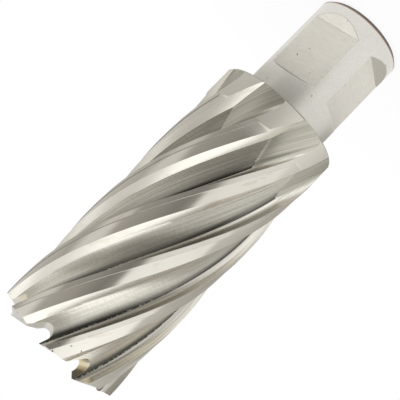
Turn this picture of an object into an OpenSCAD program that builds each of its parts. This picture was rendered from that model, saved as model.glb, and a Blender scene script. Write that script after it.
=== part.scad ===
// Annular cutter: one piece of high-speed steel, turned, fluted and ground.
// It stands on the end of its shank with the cutting teeth up. Lengths are in millimetres.

/* [Shank] */
// Diameter of the shank
shank_d = 19.05; // [15:0.05:25]
// Length of the shank, from its end to the collar face
shank_len = 23.5; // [19:0.5:40]
// Chamfer round the end of the shank
shank_chamfer = 0.6; // [0.2:0.1:1.5]
// Number of clamping flats, a quarter turn apart
flat_count = 2; // [1:1:4]
// Angle of the first clamping flat, so that the X axis lies midway between two flats
flat_first_a = 45; // [0:5:90]
// Depth of a clamping flat below the round of the shank
flat_depth = 1.6; // [0.8:0.1:2.2]
// Length of the level floor of a clamping flat
flat_len = 12.4; // [6:0.1:13]
// Distance from the end of the shank to the first slope of a flat
flat_start = 2.8; // [1.5:0.1:4]
// Run of the slope at the end of a flat that is nearer the shank end
flat_end_run = 1.9; // [0.5:0.1:3]
// Run of the slope at the end of a flat that is nearer the collar
flat_collar_run = 1; // [0.5:0.1:1.5]
// Diameter of the hole for the pilot pin
pilot_d = 6.4; // [4:0.1:9]

/* [Body] */
// Diameter over the teeth, which is the size of the hole it cuts
body_d = 27; // [24:0.5:40]
// Length from the collar face to the outer corners of the teeth
body_len = 59.8; // [40:0.1:80]
// Edge break round the collar
collar_break = 0.3; // [0.1:0.1:1]
// Diameter of the cavity that takes the slug
cavity_d = 18.5; // [14:0.5:19]
// Depth of the cavity, from the outer corners of the teeth
cavity_depth = 54; // [30:0.5:56]
// Bevel round the floor of the cavity
cavity_bevel = 0.8; // [0.2:0.1:2]

/* [Flutes] */
// Number of teeth, each with one flute before it
teeth = 8; // [6:1:10]
// Axial length of one full turn of the right-hand helix
helix_lead = 150; // [110:5:240]
// Angle of the first leading edge at the collar face
helix_phase = 12.8; // [0:0.1:60]
// Depth of a flute at the foot of its rake wall
flute_depth = 2.2; // [1.2:0.1:2.6]
// Depth of a flute at the foot of its heel flank
heel_depth = 1.6; // [0.8:0.1:1.8]
// Extra depth of a flute half-way across its hollow floor
floor_dip = 0.4; // [0:0.05:0.6]
// Width of the margin, which is left at full diameter
margin_w = 1.1; // [0.5:0.1:2]
// Width of the relieved land behind the margin
land_w = 2.4; // [1:0.1:4]
// Run of the heel flank, from the land to the flute floor
flank_run = 1.4; // [0.6:0.1:2]
// Radius of the corner between the flute floor and the rake wall
corner_r = 0.8; // [0.3:0.1:1.2]
// Step from the margin down to the relieved land
relief_step = 0.12; // [0.05:0.01:0.3]
// Depth of the relieved land at its heel
relief_heel = 0.3; // [0.15:0.05:0.6]
// Distance from the collar face to the end of the relieved lands
relief_stop = 6.6; // [4:0.1:12]
// Distance from the collar face to the end of a flute on its rake side
flute_stop = 2.5; // [1.5:0.1:8]
// Length over which the flute floor runs out
runout_len = 11; // [5:0.5:16]
// Slope of the run-out across the flute, in millimetres for each degree
runout_slant = 0.24; // [0.05:0.01:0.3]

/* [Teeth] */
// Height of the crest of a high tooth above its outer corner
crest_h = 1.4; // [0.8:0.05:2.5]
// Distance by which the crest of each second tooth is lower
crest_stagger = 0.55; // [0:0.05:0.7]
// Distance by which the outer corner of each second tooth is higher
corner_stagger = 0.2; // [0:0.05:0.4]
// Distance of the crest inside the outer diameter
crest_inset = 2.3; // [1.5:0.1:3]
// Height of the crest above the inner corner
inner_drop = 0.6; // [0.1:0.1:1.5]
// Distance by which the inner cutting edge leads the outer one
edge_lead = 0.8; // [0.3:0.1:1.2]
// Clearance angle behind the crest
crest_backoff = 12; // [5:0.5:16]
// Clearance angle behind the outer corner
corner_backoff = 5; // [2:0.5:10]
// Depth of a gullet below the crest, square to its floor
gullet_depth = 3.3; // [2:0.1:5]
// Radius at the bottom of a gullet
gullet_r = 1.4; // [0.8:0.1:1.8]
// Slope of the gullet floor, down towards the outside
gullet_tilt = 32; // [10:1:40]
// Lean of the rake face of a gullet along the helix
gullet_lean = 20; // [0:1:30]
// Angle between the rake face and the back of a gullet
gullet_back = 28; // [15:1:45]

/* [Hidden] */
$fn = 96;

shank_r = shank_d / 2;
pilot_r = pilot_d / 2;
body_r = body_d / 2;
cavity_r = cavity_d / 2;
corner_z = shank_len + body_len;
top_z = corner_z + crest_h;
cavity_floor_z = corner_z - cavity_depth;
crest_r = body_r - crest_inset;
// Spare length by which a cut passes the surface that it leaves
spare = 1;
// Spare height of a cut above the crests
over_h = 3;
// Length of the ramp at the end of a relieved land
relief_ramp = 0.5;

pitch_a = 360 / teeth;
turn = 360 / helix_lead;
flat_pitch_a = 90;
// Remainder of a low tooth's number when it is halved
low_tooth = 1;

// Angles of the tooth and flute features, counted back from the leading edge
margin_a = arc_angle(margin_w, body_r);
heel_a = margin_a + arc_angle(land_w, body_r);
floor_a = heel_a + arc_angle(flank_run, body_r);
corner_a = pitch_a - arc_angle(corner_r, body_r - flute_depth);
lead_a = arc_angle(edge_lead, crest_r);
// Angle, just ahead of a gullet's middle, at which one tooth end gives way to the next
end_split_a = lead_a + arc_angle(gullet_r, crest_r);
// Angle by which neighbouring end cuts overlap
end_overlap_a = 0.5;

// Radius outside the blank at which a flute cut closes
clear_r = (body_r + flute_depth + spare) / cos(pitch_a / 2);

// Stations of the flute cut, close together along the run-out
runout_end = shank_len + flute_stop;
runout_start = runout_end + runout_len;
runout_steps = 10;
// Share of the run-out that the cut goes on past its end
runout_over = 0.2;
flute_steps = 18;
flute_top = top_z + runout_slant * (pitch_a - margin_a) + spare;
stations = concat(
    [for (i = [0:runout_steps])
        let (share = i * (1 + runout_over) / runout_steps - runout_over)
        runout_end + runout_len * share],
    [for (i = [1:flute_steps])
        runout_start + (flute_top - runout_start) * i / flute_steps]);
corner_steps = 3;
floor_steps = 4;
end_steps = 7;
gullet_steps = 12;

function arc_angle(length, radius) = length / radius * 180 / PI;
function polar(radius, angle, z) = [radius * cos(angle), radius * sin(angle), z];
function leading_angle(z) = helix_phase + turn * (z - shank_len);

// Height of the flute floor above its full depth at a station
function floor_lift(station) =
    flute_depth * max(0, (runout_start - station) / runout_len);

// Height of the relieved land above its full depth, which ends it in a short ramp
function land_lift(z) =
    (relief_heel + spare) * min(1, max(0, (shank_len + relief_stop - z) / relief_ramp));

// Depth of the hollow of the floor, at a share of the way across it
function floor_hollow(share) = 4 * floor_dip * share * (1 - share);

// Angle of the flank's upper edge, which closes on the floor as the flute runs out
function flank_top_angle(lift) =
    floor_a - (floor_a - heel_a) * sqrt(max(0, 1 - pow(lift / heel_depth, 2)));

// Height of a point of the flute section, which lies square to the helix
function section_z(station, angle) = station + runout_slant * (max(angle, heel_a) - pitch_a);

function flute_point(station, angle, radius) =
    let (z = section_z(station, angle)) polar(radius, leading_angle(z) - angle, z);

// Section of a relieved land and of the flute behind it, from the margin to the next rake wall
function flute_section(station) =
    let (lift = floor_lift(station),
         land = land_lift(section_z(station, heel_a)),
         top_a = flank_top_angle(lift),
         floor_r = body_r - heel_depth + lift,
         foot_r = body_r - flute_depth + lift)
    concat(
        [flute_point(station, margin_a, clear_r),
         flute_point(station, margin_a, body_r - relief_step + land),
         flute_point(station, top_a, body_r - relief_heel + land)],
        [for (i = [0:floor_steps])
            let (share = i / floor_steps,
                 angle = floor_a + (corner_a - floor_a) * share)
            flute_point(station, angle, floor_r + (foot_r - floor_r) * share - floor_hollow(share))],
        [for (i = [1:corner_steps])
            let (bend = 90 * i / corner_steps,
                 angle = corner_a + (pitch_a - corner_a) * sin(bend))
            flute_point(station, angle, foot_r + corner_r * (1 - cos(bend)))],
        [flute_point(station, pitch_a, max(body_r, foot_r + corner_r) + spare),
         flute_point(station, pitch_a + margin_a, clear_r)]);

// Faces of a row of like sections, closed at both ends by a fan from the last point
function row_faces(sections, points) =
    let (last = points - 1, far = (sections - 1) * points)
    concat(
        [for (s = [0:sections - 2], i = [0:last])
            let (a = s * points + i, b = s * points + (i + 1) % points)
            each [[a, b + points, b], [a, a + points, b + points]]],
        [for (i = [0:last - 2]) [last, i, i + 1]],
        [for (i = [0:last - 2]) [far + last, far + i + 1, far + i]]);

// A solid through a row of like sections
module row_solid(rows) {
    polyhedron(
        points = [for (row = rows) each row],
        faces = row_faces(len(rows), len(rows[0])));
}

// Round form of the piece before it is fluted
module turned_blank() {
    rotate_extrude()
        polygon([
            [pilot_r, 0],
            [shank_r - shank_chamfer, 0],
            [shank_r, shank_chamfer],
            [shank_r, shank_len],
            [body_r - collar_break, shank_len],
            [body_r, shank_len + collar_break],
            [body_r, top_z + spare],
            [cavity_r, top_z + spare],
            [cavity_r, cavity_floor_z + cavity_bevel],
            [cavity_r - cavity_bevel, cavity_floor_z],
            [pilot_r, cavity_floor_z]]);
}

// Cut that leaves one clamping flat, with a slope at each end
module flat_cut() {
    floor_r = shank_r - flat_depth;
    floor_z = flat_start + flat_end_run;
    end_slope = flat_end_run / flat_depth;
    collar_slope = flat_collar_run / flat_depth;
    rotate([90, 0, 0])
        linear_extrude(height = shank_d, center = true)
            polygon([
                [floor_r, floor_z],
                [floor_r, floor_z + flat_len],
                [shank_r + spare, floor_z + flat_len + collar_slope * (flat_depth + spare)],
                [shank_r + spare, floor_z - end_slope * (flat_depth + spare)]]);
}

// Cut that leaves one relieved land and one flute
module flute_cut() {
    row_solid([for (station = stations) flute_section(station)]);
}

// Cut that leaves the ridged end of one tooth, backed off behind the edge
module tooth_end_cut(is_low) {
    in_r = cavity_r - spare;
    out_r = body_r + spare;
    crest_z = top_z - (is_low ? crest_stagger : 0);
    bevel_h = crest_h - (is_low ? crest_stagger + corner_stagger : 0);
    in_z = crest_z - inner_drop * (crest_r - in_r) / (crest_r - cavity_r);
    out_z = crest_z - bevel_h * (out_r - crest_r) / crest_inset;
    over_z = top_z + over_h;
    first_a = -end_split_a;
    last_a = pitch_a - end_split_a + end_overlap_a;
    row_solid([
        for (i = [0:end_steps])
            let (angle = first_a + (last_a - first_a) * i / end_steps,
                 behind = crest_r * (angle + lead_a) * PI / 180,
                 crest_drop = tan(crest_backoff) * behind,
                 corner_drop = tan(corner_backoff) * behind,
                 at = leading_angle(top_z) - angle)
            [polar(out_r, at, out_z - corner_drop),
             polar(out_r, at, over_z),
             polar(in_r, at, over_z),
             polar(in_r, at, in_z - crest_drop),
             polar(crest_r, at, crest_z - crest_drop)]]);
}

// Cut that leaves one gullet, ahead of the inner cutting edge
module gullet_cut() {
    bottom_y = gullet_r - gullet_depth;
    rise = gullet_depth + over_h;
    bottom = [
        for (i = [0:gullet_steps])
            let (bend = 180 + (180 - gullet_back) * i / gullet_steps)
            [gullet_r * (1 + cos(bend)), bottom_y + gullet_r * sin(bend)]];
    back_top_x = bottom[gullet_steps][0] + (rise - bottom[gullet_steps][1]) * tan(gullet_back);
    inner_l = (crest_r - cavity_r) / cos(gullet_tilt) + 2 * spare;
    outer_l = crest_inset / cos(gullet_tilt) + spare;
    rotate([0, 0, leading_angle(top_z) + lead_a])
        translate([crest_r, 0, top_z])
            rotate([-gullet_lean, 0, 0])
                rotate([0, gullet_tilt, 0])
                    rotate([90, 0, 90])
                        translate([0, 0, -inner_l])
                            linear_extrude(height = inner_l + outer_l)
                                polygon(concat([[back_top_x, rise], [0, rise]], bottom));
}

module annular_cutter() {
    color([0.76, 0.75, 0.72])
        difference() {
            turned_blank();
            for (i = [0:flat_count - 1])
                rotate([0, 0, flat_first_a - i * flat_pitch_a])
                    flat_cut();
            for (i = [0:teeth - 1])
                rotate([0, 0, i * pitch_a]) {
                    flute_cut();
                    tooth_end_cut(is_low = i % 2 == low_tooth);
                    gullet_cut();
                }
        }
}

annular_cutter();
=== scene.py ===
"""Dresses the annular cutter: finely ground flutes, lands and teeth in bright steel, on a pale stage."""

import math

import bpy
import numpy as np
from bpy.props import FloatProperty, FloatVectorProperty, PointerProperty
from mathutils import Matrix, Vector


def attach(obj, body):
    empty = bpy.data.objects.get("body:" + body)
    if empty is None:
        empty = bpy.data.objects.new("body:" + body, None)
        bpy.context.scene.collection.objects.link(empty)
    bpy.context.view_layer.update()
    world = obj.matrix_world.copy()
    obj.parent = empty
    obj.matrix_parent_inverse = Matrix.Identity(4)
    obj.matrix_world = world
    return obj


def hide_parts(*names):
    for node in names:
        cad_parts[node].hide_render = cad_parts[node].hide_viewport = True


bl_info = {
    "name": "Annular Cutter",
    "version": (1, 0, 0),
    "blender": (4, 5, 0),
    "location": "View3D > Sidebar > Cutter",
    "description": "Models a ground annular cutter and its pale studio stage",
    "category": "Add Mesh",
}

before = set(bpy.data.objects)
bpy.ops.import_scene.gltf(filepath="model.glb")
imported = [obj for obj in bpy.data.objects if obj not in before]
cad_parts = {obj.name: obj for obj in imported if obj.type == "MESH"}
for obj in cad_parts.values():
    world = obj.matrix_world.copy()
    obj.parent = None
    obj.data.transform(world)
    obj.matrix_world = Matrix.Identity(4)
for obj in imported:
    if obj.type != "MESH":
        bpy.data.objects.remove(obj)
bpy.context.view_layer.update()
NODE = "annular_cutter"
MM = 0.001
TEETH = 8
PITCH = 360 / TEETH
FLAT_TURNS = (math.pi / 4, -math.pi / 4)
WHITE = (1, 1, 1, 1)

# Finishes, in the order of the material slots that the blank and every cutting tool share
FINISHES = ("shank_satin", "ground_round", "relieved_land", "heel_flank", "flute_floor", "flute_end",
            "rake_wall", "clamping_flat", "burnt_chamfer", "fine_edge", "tooth_end", "gullet_wall",
            "slug_cavity", "collar_band")
SLOT = {name: index for index, name in enumerate(FINISHES)}

# The blank: faces round the axis, the longest face along its outline, and the fillet between shank and collar
FACES_ROUND = 288
BLANK_STEP = 3 * MM
NECK = 0.08 * MM

# How far a cutting tool reaches past the steel, and how far the flute tool stands above the body
OVER = 1.0 * MM
TOOL_TOP = 3.5 * MM

# Rows of the flute tool: their spacing near the collar, where that ends above the collar face, how many rows
# there are above that, and the least height that is left to a flank
ROW_STEP = 0.25 * MM
CLOSE_ROWS_TOP = 16 * MM
UPPER_ROWS = 74
SLIVER = 0.02 * MM

# A run-out's start above the collar face at the heel, how much higher it starts for each degree towards the
# rake wall, its slope, and the length of the bend that it starts with
RUNOUT_START = 6.8 * MM
RUNOUT_SLANT = 0.275 * MM
RUNOUT_SLOPE = 0.2
RUNOUT_BEND = 0.3 * MM

# Length of the ramp that ends a land at the collar
LAND_RAMP = 2.5 * MM

# Heights above the collar face, and the share of the floor dip at each
DIP_HEIGHTS = np.array((16, 42, 48, 56)) * MM
DIP_SHARES = (0.1, 1, 0.8, 0.15)

# Tooth ends: how steeply the crest and the outer corner fall behind the edge, and how far two ends overlap
CREST_BACKOFF = math.radians(12)
CORNER_BACKOFF = math.radians(5)
END_OVERLAP = math.radians(0.5)

# Gullets: the tilt of the bottom along the radius, the lean of the front and the opening of the back
GULLET_TILT = math.radians(32)
GULLET_LEAN = math.radians(20)
GULLET_BACK = math.radians(28)

# Edges flatter than this are shaded smooth
SMOOTH_BELOW = math.radians(24)

# Turns, in degrees, of the rough way of the ground steel from the way round the axis
ROUGH_ALONG_AXIS = 90
ROUGH_ON_FLANK = -34.5
ROUGH_ON_FLOOR = -25.9

# The white tent round the cutter and the dark opening that the camera looks in through. Each row has an
# elevation in degrees, and how bright the tent is there at turns to the left (below 0) and to the right, for
# one who looks from the cutter to the camera.
TENT = (
    (-60, ((-180, 0.8), (-150, 0.6), (-95, 0.4), (-65, 0.15), (-5, 0.1), (30, 0.35), (90, 0.6),
           (155, 0.6), (180, 0.8))),
    (-18, ((-180, 1.0), (-150, 0.65), (-75, 0.6), (-60, 0.38), (-8, 0.3), (10, 0.6), (25, 0.85),
           (95, 0.85), (125, 0.5), (155, 0.45), (180, 1.0))),
    (0, ((-180, 1.0), (-150, 0.6), (-100, 0.42), (-84, 0.65), (-66, 0.65), (-57, 0.36), (-30, 0.29),
         (-4, 0.2), (5, 0.23), (12, 0.82), (76, 0.87), (83, 0.52), (130, 0.42), (158, 0.4), (180, 1.0))),
    (10, ((-180, 1.0), (-150, 0.6), (-100, 0.4), (-84, 0.75), (-66, 0.75), (-57, 0.4), (-30, 0.34),
          (-6, 0.17), (5, 0.23), (12, 1.0), (45, 1.15), (77, 1.05), (84, 0.58), (130, 0.5), (148, 0.65),
          (158, 0.6), (180, 1.0))),
    (26, ((-180, 1.0), (-110, 0.6), (-90, 0.72), (-66, 0.75), (-50, 0.5), (-12, 0.42), (3, 0.65),
          (15, 1.2), (85, 1.3), (104, 1.0), (116, 0.5), (155, 0.5), (180, 1.0))),
    (50, ((-180, 1.0), (-95, 1.35), (-66, 1.35), (-45, 0.85), (-20, 0.85), (30, 1.25), (110, 1.3),
          (180, 1.1))),
)


def length(name, default, description):
    """A size in metres, from its value in millimetres."""
    return FloatProperty(name=name, description=description, default=default * MM, unit="LENGTH", precision=5)


def degrees(name, default, description):
    """An angle in radians, from its value in degrees."""
    return FloatProperty(name=name, description=description, default=math.radians(default), unit="ROTATION",
                         precision=4)


def shade(name, default, description):
    """A colour."""
    return FloatVectorProperty(name=name, description=description, default=default, size=3, min=0, max=1,
                               subtype="COLOR")


def share(name, default, description):
    """A number from 0 to 1."""
    return FloatProperty(name=name, description=description, default=default, min=0, max=1, subtype="FACTOR")


class CutterSizes(bpy.types.PropertyGroup):
    """Sizes of the cutter."""
    shank_radius: length("Shank radius", 9.525, "Radius of the round shank")
    shank_length: length("Shank length", 23.5, "From the shank's end to the collar face")
    chamfer: length("Shank chamfer", 0.6, "Chamfer round the shank's end")
    pilot_radius: length("Pilot radius", 3.2, "Radius of the hole for the pilot pin")
    flat_depth: length("Flat depth", 1.6, "Depth of a clamping flat below the round")
    flat_start: length("Flat start", 2.8, "From the shank's end to the first slope of a flat")
    flat_length: length("Flat length", 12.4, "Length of the level floor of a flat")
    flat_end_run: length("Flat end run", 1.9, "Run of a flat's slope near the shank's end")
    flat_collar_run: length("Flat collar run", 1.0, "Run of a flat's slope near the collar")
    body_radius: length("Body radius", 13.5, "Radius over the margins")
    body_length: length("Body length", 59.8, "From the collar face to the outer corners of the teeth")
    collar_break: length("Collar break", 0.3, "Edge break round the collar")
    cavity_radius: length("Cavity radius", 9.25, "Radius of the cavity for the slug")
    cavity_depth: length("Cavity depth", 54, "Depth of the cavity from the outer corners")
    cavity_bevel: length("Cavity bevel", 0.8, "Bevel round the floor of the cavity")
    lead: length("Helix lead", 150, "Axial length of one turn of the flutes")
    phase: degrees("Helix phase", 12.8, "Angle of the first leading edge at the collar face")
    flute_depth: length("Flute depth", 2.2, "Depth of a flute at the foot of its rake wall")
    heel_depth: length("Heel depth", 1.6, "Depth of a flute at the foot of its heel flank")
    floor_dip: length("Floor dip", 0.4, "Extra depth in the middle of a flute floor")
    margin_width: length("Margin width", 1.1, "Width of the full-diameter margin")
    land_width: length("Land width", 2.4, "Width of the relieved land")
    flank_run: length("Flank run", 1.4, "Run of the heel flank")
    corner_radius: length("Corner radius", 1.3, "Radius at the foot of the rake wall")
    relief_step: length("Relief step", 0.12, "Step from the margin to the land")
    relief_heel: length("Relief at heel", 0.3, "Depth of the land at its heel")
    relief_stop: length("Relief stop", 6.6, "From the collar face to the end of the lands")
    crest_height: length("Crest height", 1.4, "Height of a high crest above the outer corner")
    crest_stagger: length("Crest stagger", 0.55, "How much lower each second crest is")
    corner_stagger: length("Corner stagger", 0.2, "How much higher each second outer corner is")
    crest_inset: length("Crest inset", 2.3, "Distance of the crest inside the body radius")
    inner_drop: length("Inner drop", 0.6, "Height of the crest above the inner corner")
    edge_lead: length("Edge lead", 0.8, "How far the inner edge leads the outer one")
    gullet_depth: length("Gullet depth", 3.3, "Depth of a gullet below the crest")
    gullet_radius: length("Gullet radius", 1.4, "Radius at the bottom of a gullet")


class CutterFinish(bpy.types.PropertyGroup):
    """Colours and gloss of the ground steel. The leans tilt the shading alone: the mesh stays as it is."""
    steel: shade("Steel", (0.87, 0.84, 0.765), "Bright ground steel of the lands and flanks")
    # The floor and run-out colours are darker than the lands' steel, partly as painted shade for the flutes'
    # darker reflections
    floor: shade("Flute floor", (0.66, 0.638, 0.565), "Ground steel of the flute floors")
    runout: shade("Flute run-out", (0.64, 0.62, 0.54), "Ground steel where a flute floor rises to the collar")
    satin: shade("Shank", (0.785, 0.766, 0.708), "Satin steel of the shank")
    dark: shade("Chamfer", (0.035, 0.036, 0.04), "Dark heat-treated skin left on the chamfer")
    gold: shade("Gold", (0.62, 0.5, 0.27), "Golden film in the gullets")
    rust: shade("Rust", (0.30, 0.18, 0.12), "Rust along the chamfer")
    stain: shade("Stain", (0.36, 0.27, 0.16), "Golden-brown stains")
    land_gloss: share("Land roughness", 0.18, "Roughness of the lands and flanks")
    floor_lean: share("Floor lean", 0.4, "Shaded slope of a flute floor near the collar, up to the rake wall")
    runout_lean: share("Run-out lean", 0.1, "Shaded slope of a flute's run-out, up to the rake wall")
    tooth_lean: share("Lean at the teeth", 0.04,
                      "Shaded slope of a floor at the teeth, down to the rake wall")
    floor_gloss: share("Floor roughness", 0.22, "Roughness of the flute floors")
    satin_gloss: share("Shank roughness", 0.40, "Roughness of the shank")


class StageSettings(bpy.types.PropertyGroup):
    """The pale stage, its light and the camera."""
    floor_radius: length("Floor radius", 60, "Radius of the round floor")
    floor_colour: shade("Floor colour", (0.93, 0.93, 0.93), "Colour of the floor")
    floor_white: share("Floor white", 0.9,
                       "Share of the floor that shows as white; the rest keeps the shadow")
    warmth: shade("Warm light", (1.0, 0.935, 0.84), "Tint of the tent where it is dark")
    camera_distance: length("Camera distance", 146.45, "From the cutter's axis to the camera, on the level")
    camera_height: length("Camera height", 63.73, "Height of the camera above the floor")
    camera_turn: degrees("Camera turn", 14.953, "Place of the camera round the axis, from the X axis")
    look_turn: degrees("Look turn", 15.0, "Turn of the line of sight, from the X axis")
    look_down: degrees("Look down", 7.073, "Dip of the line of sight")
    roll: degrees("Roll", -135.683, "Turn of the picture about the line of sight")
    sensor: FloatProperty(name="Sensor", description="Width of the sensor, in millimetres", default=36)
    lens: FloatProperty(name="Lens", description="Focal length, in millimetres", default=69.335)


class Wire:
    """A socket of a node tree. Arithmetic on it adds Math nodes."""

    def __init__(self, board, socket):
        self.board = board
        self.socket = socket

    def __add__(self, other):
        return self.board.math("ADD", self, other)

    def __radd__(self, other):
        return self.board.math("ADD", other, self)

    def __sub__(self, other):
        return self.board.math("SUBTRACT", self, other)

    def __rsub__(self, other):
        return self.board.math("SUBTRACT", other, self)

    def __mul__(self, other):
        return self.board.math("MULTIPLY", self, other)

    def __rmul__(self, other):
        return self.board.math("MULTIPLY", other, self)

    def __truediv__(self, other):
        return self.board.math("DIVIDE", self, other)

    def __rtruediv__(self, other):
        return self.board.math("DIVIDE", other, self)


class Board:
    """A node tree that nodes are added to."""

    def __init__(self, owner):
        owner.use_nodes = True
        self.tree = owner.node_tree
        self.tree.nodes.clear()

    def add(self, kind, settings=None, inputs=None, out=0):
        """Adds a node, sets it up, then gives its sockets their values or links. Returns one output."""
        node = self.tree.nodes.new(kind)
        for name, value in (settings or {}).items():
            if name == "stops":
                self.set_stops(node.color_ramp, value)
            else:
                setattr(node, name, value)
        for name, value in (inputs or {}).items():
            socket = node.inputs[int(name)] if name.isdigit() else node.inputs[name]
            if isinstance(value, Wire):
                self.tree.links.new(value.socket, socket)
            else:
                socket.default_value = value
        return Wire(self, node.outputs[out]) if len(node.outputs) else node

    def set_stops(self, ramp, stops):
        """Gives a ramp its stops, each a position and a grey."""
        while len(ramp.elements) < len(stops):
            ramp.elements.new(1.0)
        for element, (position, grey) in zip(ramp.elements, stops):
            element.position = position
            element.color = (grey, grey, grey, 1.0)

    def math(self, operation, *values):
        """The result of a Math node."""
        return self.add("ShaderNodeMath", {"operation": operation},
                        {str(index): value for index, value in enumerate(values)})

    def parts(self, vector, count):
        """The first parts of a vector, each as a number."""
        return [self.add("ShaderNodeSeparateXYZ", {}, {"0": vector}, axis) for axis in range(count)]

    def seen(self, *kinds):
        """1 on the kinds of ray that show the white background, and 0 on the others."""
        shown = None
        for kind in kinds:
            ray = self.add("ShaderNodeLightPath", out="Is %s Ray" % kind)
            shown = ray if shown is None else self.math("MAXIMUM", shown, ray)
        return shown

    def smooth_step(self, value, low, high):
        """Goes smoothly from 0 to 1 while a value goes from low to high."""
        return self.add("ShaderNodeMapRange", {"interpolation_type": "SMOOTHSTEP"},
                        {"Value": value, "From Min": low, "From Max": high})

    def ramp(self, value, *stops):
        """A grey from a ramp, by a value from 0 to 1."""
        return self.add("ShaderNodeValToRGB", {"stops": stops}, {"Fac": value})

    def mix(self, factor, first, second, blend="MIX"):
        """Mixes two colours."""
        return self.add("ShaderNodeMix", {"data_type": "RGBA", "blend_type": blend},
                        {"0": factor, "6": first, "7": second}, 2)

    def stretched(self, vector, scale):
        """A vector with each part multiplied."""
        return self.add("ShaderNodeVectorMath", {"operation": "MULTIPLY"}, {"0": vector, "1": scale})

    def noise(self, vector, scale, detail):
        """The value of a noise texture."""
        return self.add("ShaderNodeTexNoise", {}, {"Vector": vector, "Scale": scale, "Detail": detail})


def rgba(colour, gain=1.0):
    """A colour for a socket, made lighter or darker by a gain."""
    return (*[min(1.0, part * gain) for part in colour], 1.0)


def pick(obj):
    """Makes an object the only one that operators act on."""
    bpy.ops.object.select_all(action="DESELECT")
    obj.select_set(True)
    bpy.context.view_layer.objects.active = obj


def edit(obj):
    """Opens an object in edit mode, with its whole mesh selected."""
    pick(obj)
    bpy.ops.object.mode_set(mode="EDIT")
    bpy.ops.mesh.select_all(action="SELECT")


def done():
    """Goes back to object mode."""
    bpy.ops.object.mode_set(mode="OBJECT")


def apply(obj, modifier):
    """Applies a modifier."""
    pick(obj)
    bpy.ops.object.modifier_apply(modifier=modifier.name)


def put(obj, points):
    """Moves the points of a mesh to their places."""
    obj.data.vertices.foreach_set("co", np.asarray(points, float).ravel())
    obj.data.update()


def ring(name, points):
    """A closed outline, from a circle whose points are moved to their places."""
    bpy.ops.object.select_all(action="DESELECT")
    bpy.ops.mesh.primitive_circle_add(vertices=len(points), radius=1, fill_type="NOTHING")
    obj = bpy.context.object
    obj.name = name
    put(obj, points)
    return obj


def give_slots(obj):
    """Gives a mesh the slots that all meshes share, so that a cut keeps its tool's finish."""
    for name in FINISHES:
        obj.data.materials.append(bpy.data.materials.get(name) or bpy.data.materials.new(name))


def loft(name, rows, slots):
    """A closed solid through rows of like outlines. An outline is screwed up, by any twist and pitch, and its
    rows are then moved to their places. slots gives the finish of the strip that starts at each point."""
    count = len(rows[0])
    obj = ring(name, rows[0])
    screw = obj.modifiers.new("Rows", "SCREW")
    screw.axis = "Z"
    screw.angle = screw.screw_offset = 1.0
    screw.steps = screw.render_steps = len(rows) - 1
    screw.use_merge_vertices = False
    apply(obj, screw)
    put(obj, np.concatenate(rows))
    give_slots(obj)
    for face in obj.data.polygons:
        around = sorted(v % count for v in face.vertices)
        wraps = around[0] == 0 and around[-1] == count - 1
        face.material_index = SLOT[slots[count - 1 if wraps else around[0]]]
    edit(obj)
    bpy.ops.mesh.fill_holes(sides=0)
    bpy.ops.mesh.select_all(action="SELECT")
    bpy.ops.mesh.normals_make_consistent(inside=False)
    done()
    return obj


def turned(obj, angle):
    """Turns the mesh of an object about the axis of the cutter."""
    obj.data.transform(Matrix.Rotation(angle, 4, "Z"))
    return obj


def copied(obj, angle):
    """A copy of an object with its own mesh, turned about the axis of the cutter."""
    twin = obj.copy()
    twin.data = obj.data.copy()
    bpy.context.scene.collection.objects.link(twin)
    return turned(twin, angle)


def cut(obj, tool):
    """Takes a tool's shape out of an object, with the tool's finish on the cut."""
    difference = obj.modifiers.new("Cut", "BOOLEAN")
    difference.operation = "DIFFERENCE"
    difference.solver = "MANIFOLD"
    difference.object = tool
    apply(obj, difference)
    bpy.data.objects.remove(tool)


def polar(radius, angle, z):
    """Points from radii, angles and a height."""
    return np.stack([radius * np.cos(angle), radius * np.sin(angle), np.broadcast_to(z, np.shape(angle))], -1)


class Form:
    """The cutter's derived sizes, in metres and radians."""

    def __init__(self, s):
        self.s = s
        self.pitch = math.radians(PITCH)
        self.turn = 2 * math.pi / s.lead
        self.corner_z = s.shank_length + s.body_length
        self.top_z = self.corner_z + s.crest_height
        self.cavity_z = self.corner_z - s.cavity_depth
        self.crest_r = s.body_radius - s.crest_inset
        self.margin_a = s.margin_width / s.body_radius
        self.heel_a = self.margin_a + s.land_width / s.body_radius
        self.floor_a = self.heel_a + s.flank_run / s.body_radius
        self.lead_a = s.edge_lead / self.crest_r
        self.flat_end = s.flat_start + s.flat_end_run + s.flat_length

    def leading(self, z):
        """Angle of the first leading edge at a height."""
        return self.s.phase + self.turn * (z - self.s.shank_length)

    def runout(self, behind):
        """Height at which a flute floor starts to rise to the collar, at an angle behind the leading edge."""
        return self.s.shank_length + RUNOUT_START + RUNOUT_SLANT * math.degrees(behind - self.floor_a)

    def runout_rise(self, behind, z):
        """How much a run-out has risen at an angle behind the leading edge and a height."""
        deep = max(0.0, self.runout(behind) - z)
        bends = deep < RUNOUT_BEND
        return RUNOUT_SLOPE * (deep ** 2 / (2 * RUNOUT_BEND) if bends else deep - RUNOUT_BEND / 2)


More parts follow.
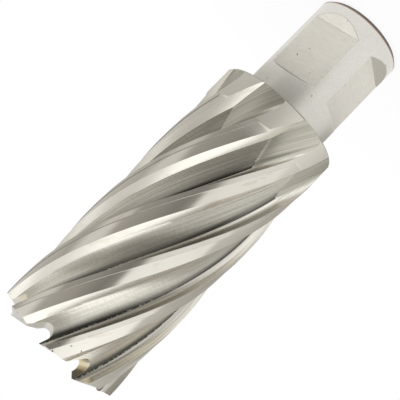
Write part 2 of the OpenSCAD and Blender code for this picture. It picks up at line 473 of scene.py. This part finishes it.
def turned_blank(form):
    """The round form before fluting: its outline is spun about the axis."""
    s = form.s
    corners = [
        (s.pilot_radius, 0, "shank_satin"),
        (s.shank_radius - s.chamfer, 0, "burnt_chamfer"),
        (s.shank_radius, s.chamfer, "shank_satin"),
        (s.shank_radius, s.shank_length - NECK, "shank_satin"),
        (s.shank_radius + NECK, s.shank_length, "shank_satin"),
        (s.body_radius - s.collar_break, s.shank_length, "fine_edge"),
        (s.body_radius, s.shank_length + s.collar_break, "ground_round"),
        (s.body_radius, form.top_z + OVER, "tooth_end"),
        (s.cavity_radius, form.top_z + OVER, "slug_cavity"),
        (s.cavity_radius, form.cavity_z + s.cavity_bevel, "slug_cavity"),
        (s.cavity_radius - s.cavity_bevel, form.cavity_z, "slug_cavity"),
        (s.pilot_radius, form.cavity_z, "slug_cavity"),
    ]
    points, slots = [], []
    for (r0, z0, slot), (r1, z1, _) in zip(corners, corners[1:] + corners[:1]):
        steps = max(1, round(math.hypot(r1 - r0, z1 - z0) / BLANK_STEP))
        for step in range(steps):
            points.append((r0 + (r1 - r0) * step / steps, 0, z0 + (z1 - z0) * step / steps))
            slots.append(slot)
    obj = ring("ground_cutter", points)
    edit(obj)
    bpy.ops.mesh.spin(steps=FACES_ROUND, angle=2 * math.pi, center=(0, 0, 0), axis=(0, 0, 1))
    bpy.ops.mesh.select_all(action="SELECT")
    bpy.ops.mesh.remove_doubles(threshold=1e-6)
    bpy.ops.mesh.normals_make_consistent(inside=False)
    done()
    give_slots(obj)
    places = np.array([(x, z) for x, _, z in points])
    middles = (places + np.roll(places, -1, 0)) / 2
    for face in obj.data.polygons:
        c = face.center
        flat = np.array([math.hypot(c.x, c.y), c.z])
        face.material_index = SLOT[slots[int(np.argmin(((middles - flat) ** 2).sum(1)))]]
    return obj


def flat_tool(form):
    """The cutter of one clamping flat: a slab with a slope at each end."""
    s = form.s
    floor_r = s.shank_radius - s.flat_depth
    low = s.flat_start + s.flat_end_run
    rise = (s.flat_depth + OVER) / s.flat_depth
    side = s.shank_radius + OVER
    outline = [(floor_r, low), (floor_r, form.flat_end), (side, form.flat_end + s.flat_collar_run * rise),
               (side, low - s.flat_end_run * rise)]
    rows = [np.array([(x, y, z) for x, z in outline]) for y in (-side, side)]
    return loft("flat_tool", rows, ["clamping_flat"] * len(outline))


def flute_tool(form):
    """The cutter of one relieved land and one flute, which runs out towards the collar."""
    s = form.s
    body = s.body_radius
    clear = (body + TOOL_TOP) / math.cos(form.pitch / 2)
    step_r, heel_r = body - s.relief_step, body - s.relief_heel
    floor_r, foot_r = body - s.heel_depth, body - s.flute_depth
    corner_a = s.corner_radius / foot_r
    end_a = form.pitch - corner_a
    flank_slope = (form.floor_a - form.heel_a) / (heel_r - floor_r)
    low, split, high = s.shank_length - 2 * OVER, s.shank_length + CLOSE_ROWS_TOP, form.top_z + 2 * OVER
    zs = np.concatenate([np.arange(low, split, ROW_STEP), np.linspace(split, high, UPPER_ROWS)])
    land_steps, flank_steps, floor_steps, bend_steps = 5, 6, 10, 9
    rows = []
    for z in zs:
        land = (s.relief_heel + OVER) * min(1, max(0, (s.shank_length + s.relief_stop - z) / LAND_RAMP))
        top_r = heel_r + land
        top_a = form.heel_a - flank_slope * land
        lift = form.runout_rise(form.floor_a, z)
        tall = heel_r - floor_r + land
        foot = min(floor_r + lift, top_r - SLIVER) if lift < tall else floor_r + lift
        low_a = form.floor_a - flank_slope * min(lift, tall - SLIVER)
        top_r = max(top_r, foot + SLIVER)
        angles, radii = [form.margin_a, form.margin_a], [clear, step_r + land]
        for i in range(1, land_steps + 1):
            f = i / land_steps
            angles.append(form.margin_a + (top_a - form.margin_a) * f)
            radii.append(step_r + land + (top_r - body + s.relief_step - land) * f)
        for i in range(1, flank_steps + 1):
            f = i / flank_steps
            angles.append(top_a + (low_a - top_a) * f)
            radii.append(top_r + (foot - top_r) * f)
        dip = s.floor_dip * np.interp(z, s.shank_length + DIP_HEIGHTS, DIP_SHARES)
        for i in range(1, floor_steps + 1):
            angle = low_a + (end_a - low_a) * (i / floor_steps)
            part = (angle - form.floor_a) / (end_a - form.floor_a)
            base = floor_r + (foot_r - floor_r) * part - dip * 4 * max(0, part) * (1 - part)
            angles.append(angle)
            radii.append(base + form.runout_rise(angle, z))
        for i in range(1, bend_steps + 1):
            bend = math.pi / 2 * i / bend_steps
            angle = end_a + corner_a * math.sin(bend)
            angles.append(angle)
            radii.append(foot_r + form.runout_rise(angle, z) + s.corner_radius * (1 - math.cos(bend)))
        angles += [form.pitch, form.pitch + form.margin_a]
        radii += [max(body, radii[-1]) + OVER, clear]
        rows.append(polar(np.array(radii), form.leading(z) - np.array(angles), z))
    # The first bends still have the floor's finish, and three strips close the outline past the wall
    low_bends, closing = 4, 3
    slots = (["fine_edge"] + ["relieved_land"] * land_steps + ["heel_flank"] * flank_steps
             + ["flute_floor"] * (floor_steps + low_bends)
             + ["rake_wall"] * (bend_steps - low_bends + closing))
    return loft("flute_tool", rows, slots)


def end_tool(form, is_low):
    """The cutter of one tooth's ridged end, backed off behind the edge."""
    s = form.s
    in_r, out_r = s.cavity_radius - OVER, s.body_radius + OVER
    crest_z = form.top_z - (s.crest_stagger if is_low else 0)
    bevel = s.crest_height - (s.crest_stagger + s.corner_stagger if is_low else 0)
    in_z = crest_z - s.inner_drop * (form.crest_r - in_r) / (form.crest_r - s.cavity_radius)
    out_z = crest_z - bevel * (out_r - form.crest_r) / s.crest_inset
    over_z = form.top_z + 3 * OVER
    split = form.lead_a + s.gullet_radius / form.crest_r
    radii = np.array([out_r, out_r, in_r, in_r, form.crest_r])
    stations = 25
    rows = []
    for angle in np.linspace(-split, form.pitch - split + END_OVERLAP, stations):
        behind = form.crest_r * (angle + form.lead_a)
        crest_drop, corner_drop = math.tan(CREST_BACKOFF) * behind, math.tan(CORNER_BACKOFF) * behind
        row = polar(radii, np.full(len(radii), form.leading(form.top_z) - angle), 0)
        row[:, 2] = [out_z - corner_drop, over_z, over_z, in_z - crest_drop, crest_z - crest_drop]
        rows.append(row)
    return loft("end_tool", rows, ["tooth_end"] * len(radii))


def gullet_tool(form):
    """The cutter of one gullet, ahead of the inner cutting edge."""
    s = form.s
    r = s.gullet_radius
    bottom = r - s.gullet_depth
    rise = s.gullet_depth + 3 * OVER
    back_x, back_y = r * (1 + math.cos(GULLET_BACK)), bottom - r * math.sin(GULLET_BACK)
    outline = [(0, rise), (0, bottom)]
    bend_points = 24
    turns = np.linspace(math.pi, 2 * math.pi - GULLET_BACK, bend_points)[1:]
    outline += [(r + r * math.cos(t), bottom + r * math.sin(t)) for t in turns]
    outline.append((back_x + (rise - back_y) * math.tan(GULLET_BACK), rise))
    inner = (form.crest_r - s.cavity_radius) / math.cos(GULLET_TILT) + 2 * OVER
    outer = s.crest_inset / math.cos(GULLET_TILT) + OVER
    place = (Matrix.Rotation(form.leading(form.top_z) + form.lead_a, 4, "Z")
             @ Matrix.Translation((form.crest_r, 0, form.top_z))
             @ Matrix.Rotation(-GULLET_LEAN, 4, "X") @ Matrix.Rotation(GULLET_TILT, 4, "Y"))
    rows = [np.array([place @ Vector((along, x, y)) for x, y in outline]) for along in (-inner, outer)]
    return loft("gullet_tool", rows, ["gullet_wall"] * len(outline))


class Finish(Board):
    """A procedural steel finish, with patterns that lie along the helix or over the piece."""

    def __init__(self, name, form):
        super().__init__(bpy.data.materials[name])
        self.form = form
        self.place = self.add("ShaderNodeTexCoord", out="Object")
        x, y, self.z = self.parts(self.place, 3)
        self.radius = self.math("SQRT", x * x + y * y)
        helix = self.add("ShaderNodeVectorRotate", {"rotation_type": "Z_AXIS"},
                         {"Vector": self.place, "Angle": self.z * -form.turn})
        x, y = self.parts(helix, 2)
        self.around = self.math("ARCTAN2", y, x)
        lead = form.s.phase - form.turn * form.s.shank_length
        behind = self.math("WRAP", lead - self.around, form.pitch, 0.0)
        self.across = (behind - form.floor_a) / (form.pitch - form.floor_a)

    def rise(self, low, high):
        """Goes smoothly from 0 to 1 between two heights on the cutter."""
        return self.smooth_step(self.z, low, high)

    def up_flute(self, low, high):
        """Goes smoothly from 0 to 1 between two heights above the collar face, in millimetres."""
        collar = self.form.s.shank_length
        return self.rise(collar + low * MM, collar + high * MM)

    def along_helix(self, fine, slow, detail, deep=0):
        """Streaks along the helix, in cycles a metre: fine across it, slow along it, deep into the steel."""
        place = self.add("ShaderNodeCombineXYZ", {}, {"X": self.around * (fine * self.form.s.body_radius),
                                                      "Y": self.radius * deep, "Z": self.z * slow})
        return self.noise(place, 1.0, detail)

    def patches(self, per_metre, detail):
        """Clouds all over the piece, in cycles a metre."""
        return self.noise(self.place, per_metre, detail)

    def finish(self, colour, roughness, metallic=1.0, height=None, strength=1.0, distance=1.0, brushed=0.0,
               turn=0.0, edge=0.06 * MM):
        """Ends the finish. brushed is how much rougher the steel is across its grinding lines. turn is the
        turn of that rough way from the way round the axis, in degrees. edge is the radius of worn edges."""
        normal = self.add("ShaderNodeBevel", {"samples": 6}, {"Radius": edge})
        if height is not None:
            normal = self.add("ShaderNodeBump", {}, {"Strength": strength, "Distance": distance,
                                                     "Height": height, "Normal": normal})
        steel = self.add("ShaderNodeBsdfPrincipled", {}, {
            "Base Color": colour, "Roughness": roughness, "Metallic": metallic, "Anisotropic": brushed,
            "Anisotropic Rotation": turn / 360 % 1, "Normal": normal})
        self.add("ShaderNodeOutputMaterial", {}, {"Surface": steel})


def paint_lands(form, look):
    """Margins, relieved lands and heel flanks: fine lines, brown stains, and pits near the teeth."""
    for name, gain in (("ground_round", 0.92), ("relieved_land", 1.0), ("heel_flank", 1.08)):
        f = Finish(name, form)
        flank = name == "heel_flank"
        streaks = f.along_helix(9000, 60, 3)
        clouds = f.patches(260, 3)
        colour = f.mix(f.ramp(clouds, (0.35, 0.0), (0.75, 1.0)) * 0.5, rgba(look.steel, gain),
                       rgba(look.steel, 0.93 * gain))
        colour = f.mix(f.ramp(streaks, (0.35, 0.0), (0.7, 1.0)) * 0.35, colour, rgba(look.steel, 0.85 * gain))
        stains = f.ramp(f.along_helix(420, 160, 3), (0.60, 0.0), (0.72, 1.0)) * (0.22 if flank else 0.35)
        colour = f.mix(stains, colour, rgba(look.stain, 1.5))
        by_teeth = f.rise(form.corner_z - 9 * MM, form.corner_z - 2 * MM)
        pits = f.ramp(f.patches(1500, 1), (0.74, 0.0), (0.78, 1.0)) * by_teeth
        colour = f.mix(pits, colour, rgba(look.dark))
        satin = 0.06 if flank else 0.2 * (1 - f.up_flute(6, 12))
        f.finish(colour, look.land_gloss + satin + (streaks - 0.5) * 0.12, height=streaks, strength=0.03,
                 distance=0.02 * MM, brushed=0.8, turn=ROUGH_ON_FLANK if flank else ROUGH_ALONG_AXIS)


def paint_floor(f, colour, look):
    """Painted shade across the floor, darkest at the foot of the rake wall, and a painted brightening towards
    the teeth; its cross marks; and the burr at the foot of the rake wall, partly a painted glint. Returns the
    colour and where the burr is."""
    # Painted shade: the floor darkens across the flute towards the foot of the rake wall, where shade falls
    shadow = f.ramp(f.across, (0.0, 1.0), (0.5, 0.92), (0.68, 0.68), (0.86, 0.2), (1.0, 0.12))
    # Painted shade: near the teeth the dark band by the wall is made wider and darker
    wall_shade = f.ramp(f.across, (0.55, 0.0), (0.76, 0.62), (1.0, 0.62))
    shadow = shadow * (1 - wall_shade * f.up_flute(36, 50))
    # Painted light: the floor is made brighter towards the teeth
    bright = f.up_flute(24, 46) * 0.26 + 1.05
    marks = f.ramp(f.along_helix(900, 3600, 1), (0.42, 1.0), (0.58, 0.93))
    colour = f.mix(1.0, colour, shadow * bright * marks, "MULTIPLY")
    # The burr line at the foot of the rake wall: partly a real burr, partly a painted glint of bright steel
    # flecks
    flecks = f.ramp(f.patches(2600, 3), (0.5, 0.0), (0.6, 1.0))
    burr_glint = f.ramp(f.across, (0.86, 0.0), (0.88, 1.0), (0.90, 0.0)) * flecks * f.up_flute(30, 42)
    return f.mix(burr_glint, colour, rgba(look.steel)), burr_glint


def paint_flutes(form, look):
    """Flute floors, their run-outs and the rake walls, with grinding lines along the helix."""
    floor_width = (form.pitch - form.floor_a) * form.s.body_radius
    metals = {"flute_floor": look.floor, "flute_end": look.runout, "rake_wall": look.steel}
    for name, metal in metals.items():
        f = Finish(name, form)
        wall = name == "rake_wall"
        streaks = f.along_helix(3000, 60, 4, 3000 if wall else 0)
        broad = f.along_helix(900, 30, 2)
        contrast, lean, burr_glint = 0.7, None, 0.0
        if name == "flute_floor":
            contrast = (1 - f.up_flute(24, 46) * 0.5) * contrast
            lean = (1 - f.up_flute(16, 42)) * look.floor_lean - f.up_flute(46, 54) * look.tooth_lean
        if name == "flute_end":
            contrast, lean = 0.6, look.runout_lean
        lines = f.ramp(streaks, (0.4, 0.0), (0.62, 1.0)) * contrast
        colour = f.mix(lines, rgba(metal, 1.1), rgba(metal, 0.68))
        colour = f.mix(f.ramp(broad, (0.35, 0.0), (0.7, 1.0)) * 0.4, colour, rgba(metal, 0.85))
        # The floor gets its painted shade and painted brightening here
        if name == "flute_floor":
            colour, burr_glint = paint_floor(f, colour, look)
        height = streaks * (0.0015 * MM)
        if lean is not None:
            height = height + (f.across - 0.5) * lean * floor_width
        # Along the burr line the steel loses most of its metal, so that its painted glint shows as bright
        # diffuse steel
        f.finish(colour, look.floor_gloss + (streaks - 0.5) * 0.16, 1 - burr_glint * 0.8, height, brushed=0.92,
                 turn=ROUGH_ALONG_AXIS if wall else ROUGH_ON_FLOOR)


def paint_shank(form, look):
    """The satin shank with its rust line by the chamfer, and the cross-ground flats with painted shade on
    their slope by the collar.
    """
    for name, grain_scale, tint, gloss in (("shank_satin", (2500, 2500, 4000), (1, 1, 1), 0.1),
                                           ("clamping_flat", (600, 600, 5200), (0.97, 0.955, 0.93), 0.06)):
        f = Finish(name, form)
        grain = f.noise(f.stretched(f.place, grain_scale), 1.0, 3)
        clouds = f.patches(180, 3)
        metal = tuple(part * share_kept for part, share_kept in zip(look.satin, tint))
        colour = f.mix(f.ramp(clouds, (0.3, 0.0), (0.75, 1.0)) * 0.5, rgba(metal), rgba(metal, 0.9))
        colour = f.mix(f.ramp(grain, (0.35, 0.0), (0.7, 1.0)) * 0.4, colour, rgba(metal, 0.78))
        specks = f.ramp(f.patches(1300, 1), (0.755, 0.0), (0.785, 1.0)) * 0.8
        colour = f.mix(specks, colour, rgba(look.stain, 0.5))
        if name == "clamping_flat":
            # Painted shade: the flat's slope by the collar, which faces down towards the collar, is darkened
            lip_shade = f.rise(form.flat_end - 0.15 * MM, form.flat_end + 0.15 * MM) * 0.6
            colour = f.mix(lip_shade, colour, rgba(metal, 0.25))
        else:
            rust = 1 - f.rise(form.s.chamfer + 0.12 * MM, form.s.chamfer + 0.34 * MM)
            colour = f.mix(rust, colour, rgba(look.rust))
        f.finish(colour, look.satin_gloss - gloss + (grain - 0.5) * 0.15, height=grain, strength=0.07,
                 distance=0.03 * MM, edge=0.2 * MM)


def paint_collar(form, look):
    """The satin band of the collar, the fine edges darkened as painted shade, and the burnt chamfer of the
    shank.
    """
    f = Finish("collar_band", form)
    grain = f.patches(5000, 2)
    colour = f.mix(f.ramp(grain, (0.35, 0.0), (0.7, 1.0)) * 0.4, rgba(look.steel, 0.97),
                   rgba(look.steel, 0.84))
    f.finish(colour, 0.5 + (grain - 0.5) * 0.1, height=grain, strength=0.1, distance=0.03 * MM)
    # Painted shade: the narrow step of each land and the collar's edge break get a flat dark steel, so they
    # don't catch light
    f = Finish("fine_edge", form)
    f.finish(rgba(look.steel, 0.42), 0.45, edge=0.02 * MM)
    f = Finish("burnt_chamfer", form)
    clouds = f.patches(700, 4)
    colour = f.mix(f.ramp(clouds, (0.4, 0.0), (0.7, 1.0)) * 0.5, rgba(look.dark, 2.6), rgba(look.dark, 1.2))
    f.finish(colour, 0.5, 0.5, height=clouds, strength=0.2, distance=0.05 * MM)


def paint_teeth(form, look):
    """Pitted tooth ends, gullets with a golden film, and the duller cavity."""
    for name, roughness, metallic in (("tooth_end", 0.3, 1.0), ("gullet_wall", 0.3, 1.0),
                                      ("slug_cavity", 0.45, 0.65)):
        f = Finish(name, form)
        clouds = f.patches(420, 4)
        colour = f.mix(f.ramp(clouds, (0.35, 0.0), (0.75, 1.0)) * 0.6, rgba(look.steel, 0.66),
                       rgba(look.steel, 0.42))
        if name == "gullet_wall":
            film = f.ramp(f.patches(300, 2), (0.42, 0.0), (0.6, 1.0)) * 0.75
            colour = f.mix(film, colour, rgba(look.gold))
        if name == "tooth_end":
            pits = f.ramp(f.patches(1400, 1), (0.66, 0.0), (0.71, 1.0)) * 0.6
            colour = f.mix(pits, colour, rgba(look.dark))
        f.finish(colour, roughness, metallic, clouds, strength=0.06, distance=0.05 * MM)


class CUTTER_OT_build(bpy.types.Operator):
    """Model the annular cutter from a turned blank"""
    bl_idname = "annular.build_cutter"
    bl_label = "Build cutter"

    def execute(self, context):
        form = Form(context.scene.cutter_sizes)
        look = context.scene.cutter_finish
        blank = turned_blank(form)
        for turn in FLAT_TURNS:
            cut(blank, turned(flat_tool(form), turn))
        flute = flute_tool(form)
        gullet = gullet_tool(form)
        for tooth in range(TEETH):
            turn = tooth * form.pitch
            cut(blank, copied(flute, turn))
            cut(blank, turned(end_tool(form, tooth % 2 == 1), turn))
            cut(blank, copied(gullet, turn))
        for tool in (flute, gullet):
            bpy.data.objects.remove(tool)
        self.part_finishes(blank, form)
        pick(blank)
        bpy.ops.object.shade_smooth_by_angle(angle=SMOOTH_BELOW)
        for paint in (paint_lands, paint_flutes, paint_shank, paint_collar, paint_teeth):
            paint(form, look)
        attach(blank, "root")
        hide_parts(NODE)
        return {"FINISHED"}

    def part_finishes(self, blank, form):
        """Gives the run-outs and the band of the collar their own finishes."""
        for face in blank.data.polygons:
            c = face.center
            behind = (form.leading(c.z) - math.atan2(c.y, c.x)) % form.pitch
            if face.material_index == SLOT["flute_floor"] and c.z < form.runout(behind):
                face.material_index = SLOT["flute_end"]
            if face.material_index == SLOT["ground_round"] and c.z < form.s.shank_length + form.s.relief_stop:
                face.material_index = SLOT["collar_band"]


class CUTTER_OT_stage(bpy.types.Operator):
    """Set up the pale floor, the soft light and the camera"""
    bl_idname = "annular.build_stage"
    bl_label = "Build stage"

    def execute(self, context):
        stage = context.scene.cutter_stage
        self.lay_floor(stage)
        self.light(context, stage)
        self.aim(context, stage)
        context.scene.view_settings.view_transform = "Standard"
        return {"FINISHED"}

    def lay_floor(self, stage):
        """Lays the floor, which is mostly plain white to the rays that show the background."""
        bpy.ops.object.select_all(action="DESELECT")
        bpy.ops.mesh.primitive_circle_add(vertices=96, radius=stage.floor_radius, fill_type="NGON")
        floor = bpy.context.object
        floor.name = "pale_floor"
        floor.data.materials.append(bpy.data.materials.new("pale_floor"))
        board = Board(floor.data.materials[0])
        seen = board.seen("Camera", "Glossy", "Transmission")
        white = board.add("ShaderNodeEmission", {}, {"Color": WHITE, "Strength": 1.0})
        matt = board.add("ShaderNodeBsdfDiffuse", {}, {"Color": rgba(stage.floor_colour)})
        mixed = board.add("ShaderNodeMixShader", {}, {"0": seen * stage.floor_white, "1": matt, "2": white})
        board.add("ShaderNodeOutputMaterial", {}, {"Surface": mixed})

    def light(self, context, stage):
        """Paints the tent on the world for the steel, and plain white for camera and transmission rays."""
        world = bpy.data.worlds.new("studio")
        context.scene.world = world
        board = Board(world)
        x, y, z = board.parts(board.add("ShaderNodeTexCoord", out="Generated"), 3)
        turn = board.math("WRAP", stage.look_turn - board.math("ARCTAN2", y, x), math.pi, -math.pi)
        side = (turn + math.pi) / (2 * math.pi)
        rows = []
        for height, stops in TENT:
            greys = [((at + 180) / 360, grey) for at, grey in stops]
            rows.append((math.sin(math.radians(height)), board.ramp(side, *greys)))
        tent = rows[0][1]
        for (below, _), (above, row) in zip(rows, rows[1:]):
            tent = board.mix(board.smooth_step(z, below, above), tent, row)
        tent = board.mix(1.0, tent, board.mix(tent, rgba(stage.warmth), WHITE), "MULTIPLY")
        colour = board.mix(board.seen("Camera", "Transmission"), tent, WHITE)
        ground = board.add("ShaderNodeBackground", {}, {"Color": colour, "Strength": 1.0})
        board.add("ShaderNodeOutputWorld", {}, {"Surface": ground})

    def aim(self, context, stage):
        """Puts the camera where the photograph was taken from."""
        data = bpy.data.cameras.new("camera")
        data.sensor_width = stage.sensor
        data.lens = stage.lens
        data.clip_start, data.clip_end = 0.01, 10
        camera = bpy.data.objects.new("camera", data)
        context.scene.collection.objects.link(camera)
        out = Vector((stage.camera_distance, 0, stage.camera_height))
        camera.matrix_world = (Matrix.Translation(Matrix.Rotation(stage.camera_turn, 4, "Z") @ out)
                               @ Matrix.Rotation(stage.look_turn + math.pi / 2, 4, "Z")
                               @ Matrix.Rotation(math.pi / 2 - stage.look_down, 4, "X")
                               @ Matrix.Rotation(stage.roll, 4, "Z"))
        context.scene.camera = camera


class CUTTER_PT_panel(bpy.types.Panel):
    """Lists the operators, sizes, finishes and stage settings"""
    bl_idname = "CUTTER_PT_panel"
    bl_label = "Annular cutter"
    bl_space_type = "VIEW_3D"
    bl_region_type = "UI"
    bl_category = "Cutter"

    def draw(self, context):
        layout = self.layout
        layout.operator(CUTTER_OT_build.bl_idname)
        layout.operator(CUTTER_OT_stage.bl_idname)
        for group in (context.scene.cutter_sizes, context.scene.cutter_finish, context.scene.cutter_stage):
            for name in group.__annotations__:
                layout.prop(group, name)


CLASSES = (CutterSizes, CutterFinish, StageSettings, CUTTER_OT_build, CUTTER_OT_stage, CUTTER_PT_panel)


def register():
    for cls in CLASSES:
        bpy.utils.register_class(cls)
    bpy.types.Scene.cutter_sizes = PointerProperty(type=CutterSizes)
    bpy.types.Scene.cutter_finish = PointerProperty(type=CutterFinish)
    bpy.types.Scene.cutter_stage = PointerProperty(type=StageSettings)


def unregister():
    del bpy.types.Scene.cutter_stage
    del bpy.types.Scene.cutter_finish
    del bpy.types.Scene.cutter_sizes
    for cls in reversed(CLASSES):
        bpy.utils.unregister_class(cls)


def main():
    register()
    bpy.ops.annular.build_cutter()
    bpy.ops.annular.build_stage()


if __name__ == "__main__":
    main()
